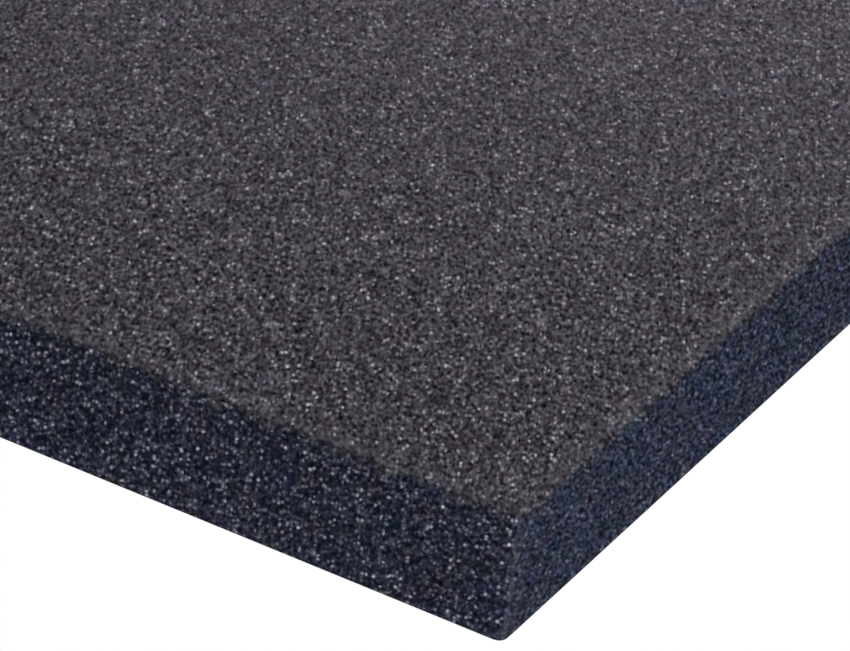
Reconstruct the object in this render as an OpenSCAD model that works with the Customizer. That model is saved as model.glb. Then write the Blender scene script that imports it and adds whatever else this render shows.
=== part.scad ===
// Soft open-cell foam sheet, cut square from a block.
// The sheet lies flat. Its origin is the middle of the underside, with +Z up through the thickness.

/* [Sheet] */
// Length of the sheet along X
sheet_l = 300; // [150:5:600]
// Width of the sheet along Y
sheet_w = 300; // [150:5:600]
// Thickness of the foam
sheet_t = 25; // [10:1:60]

/* [Cut edges] */
// Radius of the four upright corners, where two cut sides meet
corner_r = 2.0; // [1.5:0.1:10]
// Radius along the edges of both broad faces, where the soft foam gives
arris_r = 0.7; // [0.2:0.1:1.4]

/* [Hidden] */
$fn = 96;

// Straight length between two upright corners, along X and along Y
run_x = sheet_l - 2 * corner_r;
run_y = sheet_w - 2 * corner_r;

// Which way each upright corner lies from the middle, a quarter turn apart
CORNERS = [[1, 1], [-1, 1], [-1, -1], [1, -1]];

// Section through the thickness, from x = 0 out to a cut side at x = reach,
// with the side's top and bottom edges softened
module edge_section(reach) {
    shoulder = reach - arris_r;
    union() {
        square([shoulder, sheet_t]);
        translate([0, arris_r])
            square([reach, sheet_t - 2 * arris_r]);
        for (z = [arris_r, sheet_t - arris_r])
            translate([shoulder, z])
                circle(r = arris_r);
    }
}

// Whole section from one cut side to the opposite one
module sheet_section(reach) {
    union() {
        edge_section(reach);
        mirror([1, 0])
            edge_section(reach);
    }
}

// Straight band of foam that runs along X, with its two cut sides on +Y and -Y
module band(reach, run) {
    translate([-run / 2, 0, 0])
        rotate([90, 0, 90])
            linear_extrude(height = run)
                sheet_section(reach);
}

// Upright corner that turns the edge section a quarter of the way round
module corner() {
    rotate_extrude(angle = 90)
        edge_section(corner_r);
}

module foam_sheet() {
    color("#46434a")
        union() {
            band(sheet_w / 2, run_x);
            rotate([0, 0, 90])
                band(sheet_l / 2, run_y);
            for (quarter = [0 : 3])
                translate([
                    CORNERS[quarter].x * run_x / 2,
                    CORNERS[quarter].y * run_y / 2,
                    0
                ])
                    rotate([0, 0, 90 * quarter])
                        corner();
        }
}

foam_sheet();
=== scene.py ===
# %% [markdown]
# # A sheet of charcoal foam
# The object is one sheet of soft open-cell foam, sliced from a block. It has no skin, seam or
# fitting, so its whole character is in two things: the slightly unsteady cut of its edges, and
# the fine grain of many thousands of opened cells. This lesson builds the cut block as a mesh,
# and then grows the cells through it in a material.

import math

import bmesh
import bpy
from mathutils import Euler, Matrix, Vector


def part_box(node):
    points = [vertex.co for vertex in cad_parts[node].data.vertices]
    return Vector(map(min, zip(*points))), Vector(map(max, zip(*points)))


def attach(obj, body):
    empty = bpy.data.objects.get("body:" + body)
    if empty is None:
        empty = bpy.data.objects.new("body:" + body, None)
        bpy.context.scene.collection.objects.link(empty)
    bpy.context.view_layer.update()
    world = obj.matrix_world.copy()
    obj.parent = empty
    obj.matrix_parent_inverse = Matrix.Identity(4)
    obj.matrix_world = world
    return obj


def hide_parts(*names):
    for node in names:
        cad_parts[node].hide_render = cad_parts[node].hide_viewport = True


MM = 0.001

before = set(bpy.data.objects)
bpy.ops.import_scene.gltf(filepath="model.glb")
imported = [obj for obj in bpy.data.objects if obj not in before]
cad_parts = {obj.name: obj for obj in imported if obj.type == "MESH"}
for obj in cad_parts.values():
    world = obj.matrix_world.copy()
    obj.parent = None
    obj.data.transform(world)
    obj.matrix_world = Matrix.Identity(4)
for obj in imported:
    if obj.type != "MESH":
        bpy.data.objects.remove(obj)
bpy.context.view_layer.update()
low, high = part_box("foam_sheet")
length, width, thickness = high - low
print(f"sheet {length / MM:.0f} x {width / MM:.0f} x {thickness / MM:.0f} mm")

# %% [markdown]
# ## The camera
# A sheet this plain is shown by its corner. The camera stands well back with a long lens, so
# that parallel edges stay nearly parallel, and it is rolled a little to one side. It could be
# placed by eye, but a place worked out from the sheet is easier to change: the camera looks at a
# point on the top face, counted in thicknesses from the near corner, and the rest is a distance
# and three angles.

# %% Place the camera
LENS_MM = 290
AIM_IN_THICKNESSES = Vector((-1.725, 1.772, 0))
DISTANCE_IN_THICKNESSES = 47.41
AZIMUTH = math.radians(25.03)
ELEVATION = math.radians(30.73)
ROLL = math.radians(8.01)

scene = bpy.context.scene
near_corner = Vector((high.x, low.y, high.z))
aim = near_corner + AIM_IN_THICKNESSES * thickness
distance = DISTANCE_IN_THICKNESSES * thickness
towards_camera = Vector(
    (
        math.sin(AZIMUTH) * math.cos(ELEVATION),
        -math.cos(AZIMUTH) * math.cos(ELEVATION),
        math.sin(ELEVATION),
    )
)
camera_data = bpy.data.cameras.new("camera")
camera_data.lens = LENS_MM
camera = bpy.data.objects.new("camera", camera_data)
scene.collection.objects.link(camera)
camera.location = aim + towards_camera * distance
camera.rotation_euler = Euler((math.pi / 2 - ELEVATION, 0, AZIMUTH))
camera.rotation_euler.rotate_axis("Z", ROLL)
scene.camera = camera
print(f"camera {distance:.2f} m from the top face")

# %% [markdown]
# ## Shader maths
# A finish is a formula: so much of this colour where a mask is high, so much of that one where
# it is low. Drawn by hand it becomes a tangle of nodes, so one small class wraps a socket and
# lets it be added, multiplied and compared as a number is. One function adds every other kind
# of node: its settings first, and then what goes into its sockets.

# %% Wrap a socket as a number
class Wire:
    """Output socket that arithmetic works on. Each operation adds one Math node."""

    def __init__(self, socket):
        self.socket = socket

    def maths(self, operation, *others):
        inputs = dict(enumerate((self, *others)))
        return add_node(self.socket.id_data, "ShaderNodeMath", {"operation": operation}, inputs)[0]

    def __add__(self, other):
        return self.maths("ADD", other)

    def __sub__(self, other):
        return self.maths("SUBTRACT", other)

    def __mul__(self, other):
        return self.maths("MULTIPLY", other)

    def __truediv__(self, other):
        return self.maths("DIVIDE", other)

    def __pow__(self, other):
        return self.maths("POWER", other)

    def __rsub__(self, other):
        return self * -1 + other

    def __abs__(self):
        return self.maths("ABSOLUTE")

    def lesser(self, other):
        return self.maths("MINIMUM", other)

    def greater(self, other):
        return self.maths("MAXIMUM", other)

    __radd__ = __add__
    __rmul__ = __mul__


def add_node(tree, kind, settings=None, inputs=None):
    """Adds a node and returns its outputs, as Wires, by number and by name."""
    made = tree.nodes.new(kind)
    for name, setting in (settings or {}).items():
        setattr(made, name, setting)
    for key, value in (inputs or {}).items():
        if isinstance(value, Wire):
            tree.links.new(value.socket, made.inputs[key])
        else:
            made.inputs[key].default_value = value
    outputs = {number: Wire(socket) for number, socket in enumerate(made.outputs)}
    outputs.update({socket.name: Wire(socket) for socket in reversed(made.outputs)})
    return outputs


def blank_material(name):
    """New material with an empty node tree."""
    material = bpy.data.materials.new(name)
    material.use_nodes = True
    material.node_tree.nodes.clear()
    return material


def finish_material(material, shader):
    """Sends shader to the material's surface."""
    add_node(material.node_tree, "ShaderNodeOutputMaterial", None, {"Surface": shader})
    print(f"{material.name}: {len(material.node_tree.nodes)} nodes")
    return material


# %% [markdown]
# ## Table and light
# Dark foam reads best on white, so the sheet lies on a light table. A plain plane does for that.
# With an ordinary white finish it would be grey in the shade of the sheet, and the foot of each
# cut side would sink into a black line. So it has two finishes: clean white for the camera, and
# for the foam a faint neutral glow that is the same everywhere.

# %% Lay the table
TABLE_SIDE = 12.0
WHITE = (1, 1, 1, 1)
TABLE_GLOW = (0.266, 0.265, 0.268, 1)


def deselect():
    """Clears the selection, because the loaded nodes arrive selected."""
    bpy.ops.object.select_all(action="DESELECT")


def white_to_camera(tree, kind, tint):
    """A shader of this kind that gives off tint, but is plain white where the camera sees it."""
    seen = add_node(tree, "ShaderNodeLightPath")["Is Camera Ray"]
    dim = add_node(tree, kind, None, {"Color": tint})[0]
    white = add_node(tree, kind, None, {"Color": WHITE})[0]
    return add_node(tree, "ShaderNodeMixShader", None, {0: seen, 1: dim, 2: white})[0]


deselect()
bpy.ops.mesh.primitive_plane_add(size=TABLE_SIDE, location=(0, 0, low.z))
table = bpy.context.object
table.name = "table"
table_finish = blank_material("light table")
table_glow = white_to_camera(table_finish.node_tree, "ShaderNodeEmission", TABLE_GLOW)
table.data.materials.append(finish_material(table_finish, table_glow))

# %% [markdown]
# The walls of the studio are treated in the same way. They look white, and give the foam a soft
# light from all round that is dimmer than they seem, because it is the softboxes that shape it.

# %% Light the walls
WALL_LIGHT = (0.29, 0.302, 0.32, 1)

scene.view_settings.view_transform = "Standard"
world = bpy.data.worlds.new("studio")
world.use_nodes = True
world.node_tree.nodes.clear()
studio = white_to_camera(world.node_tree, "ShaderNodeBackground", WALL_LIGHT)
add_node(world.node_tree, "ShaderNodeOutputWorld", None, {"Surface": studio})
scene.world = world
print(f"walls: {WALL_LIGHT[:3]}")

# %% [markdown]
# Two softboxes shape the sheet. One hangs low behind the far edge, a little warmer than the
# walls, so the top is brightest there and fades towards the near corner. A larger cold one stands
# well off at the right. It lights that side and the upright corner, which would otherwise be lost
# in the dark.

# %% Hang the softboxes
def softbox(name, place, side, watts, tint):
    """Square area light at place, turned to the middle of the sheet."""
    data = bpy.data.lights.new(name, "AREA")
    data.size = side
    data.energy = watts
    data.color = tint
    light = bpy.data.objects.new(name, data)
    scene.collection.objects.link(light)
    light.location = place
    light.rotation_euler = Vector(place).to_track_quat("Z", "Y").to_euler()
    print(f"{name}: {watts} W, {Vector(place).length:.2f} m away")


softbox("far softbox", place=(0.03, 0.30, 0.34), side=0.4, watts=2.64, tint=(1.0, 0.968, 0.952))
softbox("right softbox", place=(1.2, -0.6, 0.25), side=0.6, watts=5.55, tint=(0.57, 0.84, 0.95))

# %% [markdown]
# ## The cut block
# The sheet is a block with rounded upright corners and slightly softened edges. A cube with
# bevels gives that form, but its broad faces would be single polygons with nothing to bend. So
# the cube is first divided into a grid of squares, then bevelled, and then refined with a
# Subdivision Surface, which turns the few faces of each bevel into a smooth round. Edges are
# picked in code, by a rule about the way they run or the faces that they join.

# %% Choose edges by rule
ALMOST_ALL = 0.99


def select_edges(piece, rule):
    """In edit mode, selects only the edges that rule(edge) picks."""
    bpy.ops.mesh.select_mode(type="EDGE")
    bpy.ops.mesh.select_all(action="DESELECT")
    mesh = bmesh.from_edit_mesh(piece.data)
    picked = [edge for edge in mesh.edges if rule(edge)]
    for edge in picked:
        edge.select_set(True)
    bmesh.update_edit_mesh(piece.data)
    print(f"{len(picked)} edges selected")


def runs_along(axis):
    """Rule for the edges that run along axis 0, 1 or 2."""

    def rule(edge):
        run = edge.verts[1].co - edge.verts[0].co
        return abs(run[axis]) > ALMOST_ALL * run.length

    return rule


# %% Rough out the block
GRID_CELLS = (44, 44, 4)

deselect()
bpy.ops.mesh.primitive_cube_add(size=1, location=(low + high) / 2, scale=high - low)
sheet = bpy.context.object
sheet.name = "cut_foam_sheet"
bpy.ops.object.transform_apply(location=True, rotation=True, scale=True)
bpy.ops.object.mode_set(mode="EDIT")
for axis, cells in enumerate(GRID_CELLS):
    select_edges(sheet, runs_along(axis))
    bpy.ops.mesh.subdivide(number_cuts=cells - 1)

# %% Round the upright corners, then soften the arrises
CORNER_RADIUS = 2.0 * MM
ARRIS_RADIUS = 0.7 * MM
HALFWAY = 0.5


def is_broad(face):
    """True on the top and the underside, where the normal is upright."""
    return abs(face.normal.z) > HALFWAY


def at_upright_corner(edge):
    """Edges where two cut sides meet at a right angle."""
    one, other = edge.link_faces
    square = abs(one.normal.dot(other.normal)) < HALFWAY
    return square and not is_broad(one) and not is_broad(other)


def at_arris(edge):
    """Edges where a broad face meets a cut side."""
    one, other = edge.link_faces
    return is_broad(one) != is_broad(other)


select_edges(sheet, at_upright_corner)
bpy.ops.mesh.bevel(offset=CORNER_RADIUS, segments=4, affect="EDGES")
select_edges(sheet, at_arris)
bpy.ops.mesh.bevel(offset=ARRIS_RADIUS, segments=2, affect="EDGES")
bpy.ops.object.mode_set(mode="OBJECT")

# %% Refine the mesh
REFINE_LEVELS = 2

refine = sheet.modifiers.new("refine", "SUBSURF")
refine.levels = REFINE_LEVELS
refine.render_levels = REFINE_LEVELS
bpy.ops.object.modifier_apply(modifier=refine.name)
bpy.ops.object.shade_smooth()
print(f"{len(sheet.data.polygons)} faces")

# %% [markdown]
# ## The unsteady cut
# Foam gives way under the blade, so an arris, the edge between two faces, wanders by a tenth of
# a millimetre or two, and the faces are not quite flat. The points could be pushed by hand, but a
# Displace modifier with a cloud texture does it evenly and can be tuned with two numbers. A vertex
# group holds it back: nothing moves underneath or at the foot, where the sheet rests, and the top
# moves less than the sides.

# %% Say where the cut may wander
WANDERERS = "may wander"
HELD_BELOW = 3 * MM
FREE_ABOVE = 9 * MM
TOP_SHARE = 0.35
SHARP_TURN = 4


def wander_share(vertex):
    """0 at the foot of the sheet, 1 on the upper part of its sides, and TOP_SHARE on top."""
    risen = (vertex.co.z - low.z - HELD_BELOW) / (FREE_ABOVE - HELD_BELOW)
    on_top = max(vertex.normal.z, 0) ** SHARP_TURN
    return min(max(risen, 0), 1) * (1 - on_top * (1 - TOP_SHARE))


wanderers = sheet.vertex_groups.new(name=WANDERERS)
for vertex in sheet.data.vertices:
    wanderers.add([vertex.index], wander_share(vertex), "REPLACE")
print(f"{len(sheet.data.vertices)} points may wander, each by its share")

# %% Let it wander
def displace(piece, name, grain_size, strength):
    """Pushes the points of piece in and out by a plain cloud pattern, and applies it."""
    clouds = bpy.data.textures.new(name, "CLOUDS")
    clouds.noise_scale = grain_size
    clouds.noise_depth = 0
    push = piece.modifiers.new(name, "DISPLACE")
    push.texture = clouds
    push.texture_coords = "LOCAL"
    push.strength = strength
    push.vertex_group = WANDERERS
    before = [vertex.co.copy() for vertex in piece.data.vertices]
    bpy.ops.object.modifier_apply(modifier=push.name)
    moves = [(vertex.co - start).length for vertex, start in zip(piece.data.vertices, before)]
    print(f"{name}: up to {max(moves) / MM:.2f} mm")


displace(sheet, "slow sag", grain_size=40 * MM, strength=0.3 * MM)
displace(sheet, "unsteady arris", grain_size=4 * MM, strength=0.35 * MM)

# %% [markdown]
# ## A flat map
# The foam's finish needs no map, because its noise fills the block. But when the model leaves
# Blender its colours are baked into one square image, and the image is sharpest if little of it
# is wasted. So the sheet brings its own map, under the name that the export looks for: the top
# as large as will fit, the four cut sides in strips above it at the same scale, and the
# underside, which is seldom seen, small beside it.

# %% Lay out the map
MAP_NAME = "OFBake"
TOP_ON_MAP = 0.73
GAP_ON_MAP = 0.004
STRIP_ON_MAP = TOP_ON_MAP * thickness / length
UNDERSIDE_ON_MAP = 1 - TOP_ON_MAP - 3 * GAP_ON_MAP


def strip_place(run, up, strip):
    """Place on one of the four strips, counted from 0 next to the top."""
    start = TOP_ON_MAP + 2 * GAP_ON_MAP + strip * (STRIP_ON_MAP + GAP_ON_MAP)
    return GAP_ON_MAP + run * TOP_ON_MAP, start + up * STRIP_ON_MAP


def place_on_map(normal, point):
    """Where point goes on the map, by the way its face looks."""
    across, along, up = (part / whole for part, whole in zip(point - low, high - low))
    axis = max(range(3), key=lambda number: abs(normal[number]))
    positive = normal[axis] > 0
    if axis == 0:
        return strip_place(along if positive else 1 - along, up, 2 if positive else 3)
    if axis == 1:
        return strip_place(1 - across if positive else across, up, 1 if positive else 0)
    if positive:
        return GAP_ON_MAP + across * TOP_ON_MAP, GAP_ON_MAP + along * TOP_ON_MAP
    return 1 - GAP_ON_MAP - across * UNDERSIDE_ON_MAP, GAP_ON_MAP + along * UNDERSIDE_ON_MAP


flat_map = sheet.data.uv_layers.new(name=MAP_NAME)
for face in sheet.data.polygons:
    for corner in face.loop_indices:
        point = sheet.data.vertices[sheet.data.loops[corner].vertex_index].co
        flat_map.data[corner].uv = place_on_map(face.normal, point)
print(f"the top takes {TOP_ON_MAP:.0%} of the map's side, and the underside {UNDERSIDE_ON_MAP:.0%}")

# %% [markdown]
# ## The foam
# Here the glints and part of the paleness of the edges are painted highlights in the colour.
# Open-cell foam is a lace of thin struts. A cut face shows three things: an even grain of cells
# under a millimetre across, dark where the cut opens a hole and pale where it leaves a strut; here
# and there a strut that lies like a small mirror and glints; and paler edges, where the blade has
# bent the struts over. To model the cells would take millions of faces, and a picture of foam
# would repeat and would not turn the corner. Noise in three dimensions does what the foam does:
# one solid grain runs through the whole block, and each face shows its own slice of it.
#
# First come the tools for masks. A mask is a number from 0 to 1 over the surface.

# %% Masks
foam = blank_material("charcoal foam")
tree = foam.node_tree
place = add_node(tree, "ShaderNodeTexCoord")["Object"]


def rises(value, start, end):
    """0 below start and 1 above end, with a smooth turn between."""
    return add_node(
        tree,
        "ShaderNodeMapRange",
        {"interpolation_type": "SMOOTHSTEP"},
        {"Value": value, "From Min": start, "From Max": end},
    )[0]


def falls(value, start, end):
    """1 below start and 0 above end, with a smooth turn between."""
    return 1 - rises(value, start, end)


def hump(value, start, full, fades, end):
    """Rises from start to full, and falls again from fades to end."""
    return rises(value, start, full) * falls(value, fades, end)


def blend(share, first, second):
    """Colour that goes from first to second as share goes from 0 to 1."""
    return add_node(
        tree, "ShaderNodeMix", {"data_type": "RGBA"}, {0: share, 6: first, 7: second}
    )[2]


def parts(vector):
    """The X, Y and Z of a vector."""
    split = add_node(tree, "ShaderNodeSeparateXYZ", None, {0: vector})
    return split["X"], split["Y"], split["Z"]


def noise(size, detail=0.0):
    """Noise with grains of about this size. Its first output is soft, about 0.2 to 0.8."""
    inputs = {"Vector": place, "Scale": 1 / size, "Detail": detail}
    return add_node(tree, "ShaderNodeTexNoise", None, inputs)


def count_nodes(made):
    """Says how far the material has grown."""
    print(f"{made}: {len(tree.nodes)} nodes so far")


count_nodes("tools for masks")

# %% [markdown]
# Three masks tell the faces apart. The first reads how much a point faces up or down. A slow
# mottle is added to it, so the broad faces end in a ragged line. The other two part the cut sides
# at the upright corners. Inside the outline both |x| - length / 2 and |y| - width / 2 are below
# zero, and their difference says which side of a corner a point is on, and how far round.

# %% Broad faces and cut sides
MOTTLE_SIZE = 2.5 * MM
RAGGEDNESS = 0.5
FACES_UP = (0.35, 0.9)
TURN_IN_MM = (-1.0, 1.0)

facing = parts(add_node(tree, "ShaderNodeNewGeometry")["Normal"])
x, y, z = parts(place)
beyond_x = abs(x) - length / 2
beyond_y = abs(y) - width / 2
round_corner_in_mm = (beyond_x - beyond_y) / MM

mottle = noise(MOTTLE_SIZE)[0] - 0.5
broad_face = rises(abs(facing[2]) + mottle * RAGGEDNESS, *FACES_UP)
side = 1 - broad_face
cut_along = side * rises(round_corner_in_mm, *TURN_IN_MM)
cut_across = side - cut_along


def by_face(broad, across, along):
    """A value that differs between the broad faces and the two kinds of cut side."""
    return broad_face * broad + cut_across * across + cut_along * along


count_nodes("faces")

# %% [markdown]
# Foam rises while it sets, and its cells are drawn out in the direction in which it rose, as the
# fibres of wood are. So the coordinates are turned to that direction and squeezed along it before
# any grain reads them. Two of the cut sides cross the cells and show their round ends, and the
# other two cut along them.
#
# The lace of struts is two layers of soft noise of slightly different size, added together: one
# layer alone shows its lattice. Everything round is a Voronoi pattern: the pale beads where struts
# meet, the dark pores that open in the broad faces, and the glints, which are painted highlights:
# bright spots in the colour, not reflections of the lamps. Each of its cells has a random strength,
# and a high power of that number leaves only a few cells strong.

# %% Cells
CELL = 0.77 * MM
CELL_DRAWN = 5.0
RISE_LEAN = math.radians(30)
RISE_TURN = math.radians(25)
DOT_REACH = 0.8


def counted_in_cells(cell, shift):
    """Coordinates counted in cells, which are longer the way the foam rose.

    Each pattern has its own shift, in metres, so that no two of them line up.
    """
    return add_node(
        tree,
        "ShaderNodeMapping",
        {"vector_type": "TEXTURE"},
        {
            "Vector": place,
            "Location": (shift, shift, shift),
            "Rotation": (-RISE_LEAN, 0, RISE_TURN),
            "Scale": (cell, cell * CELL_DRAWN, cell),
        },
    )[0]


def struts(cell, shift):
    """Soft light and dark spots, about -0.3 to 0.3."""
    inputs = {"Vector": counted_in_cells(cell, shift), "Scale": 1.0, "Detail": 0.0}
    return add_node(tree, "ShaderNodeTexNoise", None, inputs)[0] - 0.5


def dots(cell, shift, rare):
    """Round dots, one to a cell, from 0 to 1. The greater rare is, the fewer are strong."""
    inputs = {"Vector": counted_in_cells(cell, shift), "Scale": 1.0}
    cells = add_node(tree, "ShaderNodeTexVoronoi", None, inputs)
    strength = add_node(tree, "ShaderNodeSeparateColor", None, {0: cells["Color"]})[0]
    return (1 - cells["Distance"] / DOT_REACH).greater(0) * strength ** rare


# %% [markdown]
# Now the patterns are weighed. The lace, the pores and the glints are on every face but not
# equally strong, so each has three numbers: one for the broad faces, one for the sides that cross
# the cells, and one for the sides along them. The beads show only where the cut crosses the cells.
# The foam is also a little coarser towards one corner, where the grain of the broad faces has
# more contrast. Beads and pores are counted from their mean, so that they change the grain and
# leave the foam as light as it was. On the cut sides a share of the grain's square is added, and
# its pale spots stand out more than its dark ones.

# %% Grain
LACE = (0.85, 1.2, 1.45)
LACE_COARSER = 0.5
BEADS_ACROSS = 1.45
BEADS_MEAN = 0.12
PORES = (0.55, 0.12, 0.25)
PORES_COARSER = 0.35
PORES_MEAN = 0.19
PALE_ACROSS = 0.35
PALE_ALONG = 0.1
COARSE_TO_FINE = (-190 * MM, 0)

along_rise = y * math.cos(RISE_TURN) - x * math.sin(RISE_TURN)
coarse = broad_face * falls(along_rise, *COARSE_TO_FINE)
lace = struts(CELL, shift=0.0) + struts(CELL * 0.8, shift=0.011)
lace = lace * (by_face(*LACE) + coarse * LACE_COARSER)
beads = (dots(CELL, shift=0.05, rare=1.5) - BEADS_MEAN) * cut_across * BEADS_ACROSS
pores = dots(CELL * 0.9, shift=0.07, rare=1.0) - PORES_MEAN
pores = pores * (by_face(*PORES) + coarse * PORES_COARSER)
grain = lace + beads - pores
grain = grain + grain * grain * (cut_across * PALE_ACROSS + cut_along * PALE_ALONG)
count_nodes("grain")

# %% Painted glints
PAINTED_GLINTS = (1.45, 3.75, 1.6)
PAINTED_GLINTS_COARSER = 0.88

# Painted highlights: a few cells are made bright in the colour, as if they caught a lamp.
painted_glints = dots(CELL * 0.85, shift=0.023, rare=5.5) * (by_face(*PAINTED_GLINTS) + coarse * PAINTED_GLINTS_COARSER)
count_nodes("painted_glints")

# %% [markdown]
# Near the edges the colour changes. Along the top there is a pale rim some millimetres wide: partly
# struts that the blade has bent over, and partly painted highlight. Its outermost millimetre is
# darker. On the cut sides there is a lip under the top edge, paler on the sides across the cells
# and darker on the sides along them, and a ridge on each upright corner that fades round it as a
# shoulder; their paleness too is bent struts and painted highlight. The foot of each cut side is
# paler: painted bounce light from the table.

# %% Edges: bent struts, painted highlights and painted bounce light
RIM = (2.0 * MM, 5.5 * MM)
# ROLL here is the width of the darker outer band of the top, counted in from its edge.
ROLL = (0.2 * MM, 1.1 * MM)
OUTER_BAND_WAVERS = 2 * MM
LIP_BELOW_TOP = (1.5 * MM, 0.3 * MM)
LIP_WAVERS = 3.5 * MM
RIDGE_IN_MM = (-1.6, 0.3, 0.4, 1.9)
SHOULDER_IN_MM = (0.0, 1.5, 1.5, 9.0)
FOOT_SHARE = 0.22

inset = beyond_x.greater(beyond_y) * -1
rim = broad_face * falls(inset, *RIM)
darker_outer_band = broad_face * falls(inset + mottle * OUTER_BAND_WAVERS, *ROLL)
lip = rises(z + mottle * LIP_WAVERS, high.z - LIP_BELOW_TOP[0], high.z - LIP_BELOW_TOP[1])
ridge = hump(round_corner_in_mm, *RIDGE_IN_MM)
shoulder = hump(round_corner_in_mm, *SHOULDER_IN_MM)
# Painted bounce light: the foot of each cut side is paler, as if lit by the table.
foot = falls(z, low.z, low.z + thickness * FOOT_SHARE)
count_nodes("edges")

# %% [markdown]
# All of this is added up into one number, the swing: above zero the foam is paler than its dye,
# and below zero darker. The rim swings a little less than the rest, a slow mottle goes over
# everything but the sides along the cells, and the last line darkens the broad faces a little
# towards the near corner, as painted shade where the light fades, and sets how dark each face is
# as a whole.

# %% Add up the swing
RIM_CALM = 0.2
RIM_PALER = 0.13
OUTER_BAND_DARKER = 0.13
LIP_PALER_ACROSS = 0.27
LIP_DARKER_ALONG = 0.09
RIDGE_PALER = 0.28
SHOULDER_PALER = 0.15
FOOT_PAINTED_BOUNCE = 0.08
COARSE_END_PAINTED_SHADE = 0.035
MOTTLE_BROAD = 0.18
MOTTLE_ACROSS = 0.4
DARKER = (0.01, 0.085, 0.01)

swing = (grain + painted_glints) * (1 - rim * RIM_CALM)
# The pale rim is partly painted highlight, and the outermost band of the top is darker.
swing = swing + rim * RIM_PALER - darker_outer_band * OUTER_BAND_DARKER
# The paler lip on the sides across the cells is partly painted highlight.
swing = swing + lip * (cut_across * LIP_PALER_ACROSS - cut_along * LIP_DARKER_ALONG)
# Painted highlight on the ridge and shoulder, and painted bounce light at the foot.
swing = swing + side * (ridge * RIDGE_PALER + shoulder * SHOULDER_PALER + foot * FOOT_PAINTED_BOUNCE)
swing = swing + mottle * (broad_face * MOTTLE_BROAD + cut_across * MOTTLE_ACROSS)
# Painted shade: the broad faces are darker towards the near corner, where the light fades.
swing = swing - coarse * COARSE_END_PAINTED_SHADE - by_face(*DARKER)
count_nodes("swing")

# %% [markdown]
# Grain looks even to the eye when its steps are even as the eye counts them, and not as light
# does. So the colour is worked out in the eye's steps: the colour of the dye, plus so much pale
# grey for the swing. A Gamma node turns the sum to light at the end.
#
# The foam is one colour all through, dyed in the block. The blue-black of the cut sides and the
# warmer grey of the broad faces are painted light: the sides are coloured as if lit cool from the
# side, and the broad faces as if lit warm from above. The lip and ridges of the cut sides lean
# towards the warm colour, as a painted warm highlight. The dye has not taken quite evenly either,
# so a slow noise shifts the hue a little.

# %% Colours
EYE_GAMMA = 2.4
# Painted light: the colour of the sides holds a cool light, and the colour of the top a warm one.
SIDE_COLOUR_PAINTED_COOL_LIGHT = (0.277, 0.276, 0.3395, 1)
TOP_COLOUR_PAINTED_WARM_LIGHT = (0.2934, 0.2778, 0.305, 1)
# The pale grey on the cut sides is warmer, so that the painted glints there come out neutral.
PALE_ON_SIDES = (0.2415, 0.2273, 0.2195, 1)
PALE_ON_TOP = (0.244, 0.242, 0.2405, 1)
DARKEST_SWING = -1.1
LIP_PAINTED_WARM_ALONG = 0.6
RIDGE_PAINTED_WARM = 0.5


def vector_maths(operation, *inputs):
    """One Vector Math node, which also serves for colours."""
    settings = {"operation": operation}
    return add_node(tree, "ShaderNodeVectorMath", settings, dict(enumerate(inputs)))[0]


# Painted warm highlight on the lip and the upright ridges of the cut sides.
edges_painted_warm = lip * (cut_across + cut_along * LIP_PAINTED_WARM_ALONG) + side * ridge * RIDGE_PAINTED_WARM
dye_and_painted_light = blend(broad_face + edges_painted_warm, SIDE_COLOUR_PAINTED_COOL_LIGHT, TOP_COLOUR_PAINTED_WARM_LIGHT)
pale = blend(broad_face, PALE_ON_SIDES, PALE_ON_TOP)

# %% Uneven dye
PATCH_SIZE = 4 * MM
HUE_SWING = (1.0, 0.2, 1.0)
UNEVEN = (0.08, 0.27, 0.4)

patches = noise(PATCH_SIZE, detail=1.0)["Color"]
patches = vector_maths("SUBTRACT", patches, (0.5, 0.5, 0.5))
patches = vector_maths("MULTIPLY", patches, HUE_SWING)
patches = vector_maths("MULTIPLY_ADD", patches, by_face(*UNEVEN), (1, 1, 1))
ground = vector_maths("MULTIPLY", patches, dye_and_painted_light)
shade = vector_maths("MULTIPLY_ADD", pale, swing.greater(DARKEST_SWING), ground)
tone = add_node(tree, "ShaderNodeGamma", None, {"Color": shade, "Gamma": EYE_GAMMA})[0]
count_nodes("colours")

# %% [markdown]
# Foam has almost no gloss: light goes in among the struts and comes out from all sides. So the
# surface is rough, with next to no mirror light, and only the glints are a little smoother. A
# slight bump follows the swing, so that pale struts stand up and dark cells sink in.

# %% Surface
ROUGHNESS = 0.95
GLINT_SMOOTHER = 0.3
RELIEF_HEIGHT = 0.3 * MM

relief_inputs = {"Strength": 0.08, "Distance": RELIEF_HEIGHT, "Height": swing}
relief = add_node(tree, "ShaderNodeBump", None, relief_inputs)[0]
surface = add_node(
    tree,
    "ShaderNodeBsdfPrincipled",
    None,
    {
        "Base Color": tone,
        "Roughness": ROUGHNESS - painted_glints.lesser(1) * GLINT_SMOOTHER,
        "Specular IOR Level": 0.05,
        "Normal": relief,
    },
)[0]
sheet.data.materials.append(finish_material(foam, surface))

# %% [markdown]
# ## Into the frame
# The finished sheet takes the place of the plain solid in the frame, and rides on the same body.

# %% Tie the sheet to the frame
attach(sheet, "root")
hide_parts("foam_sheet")
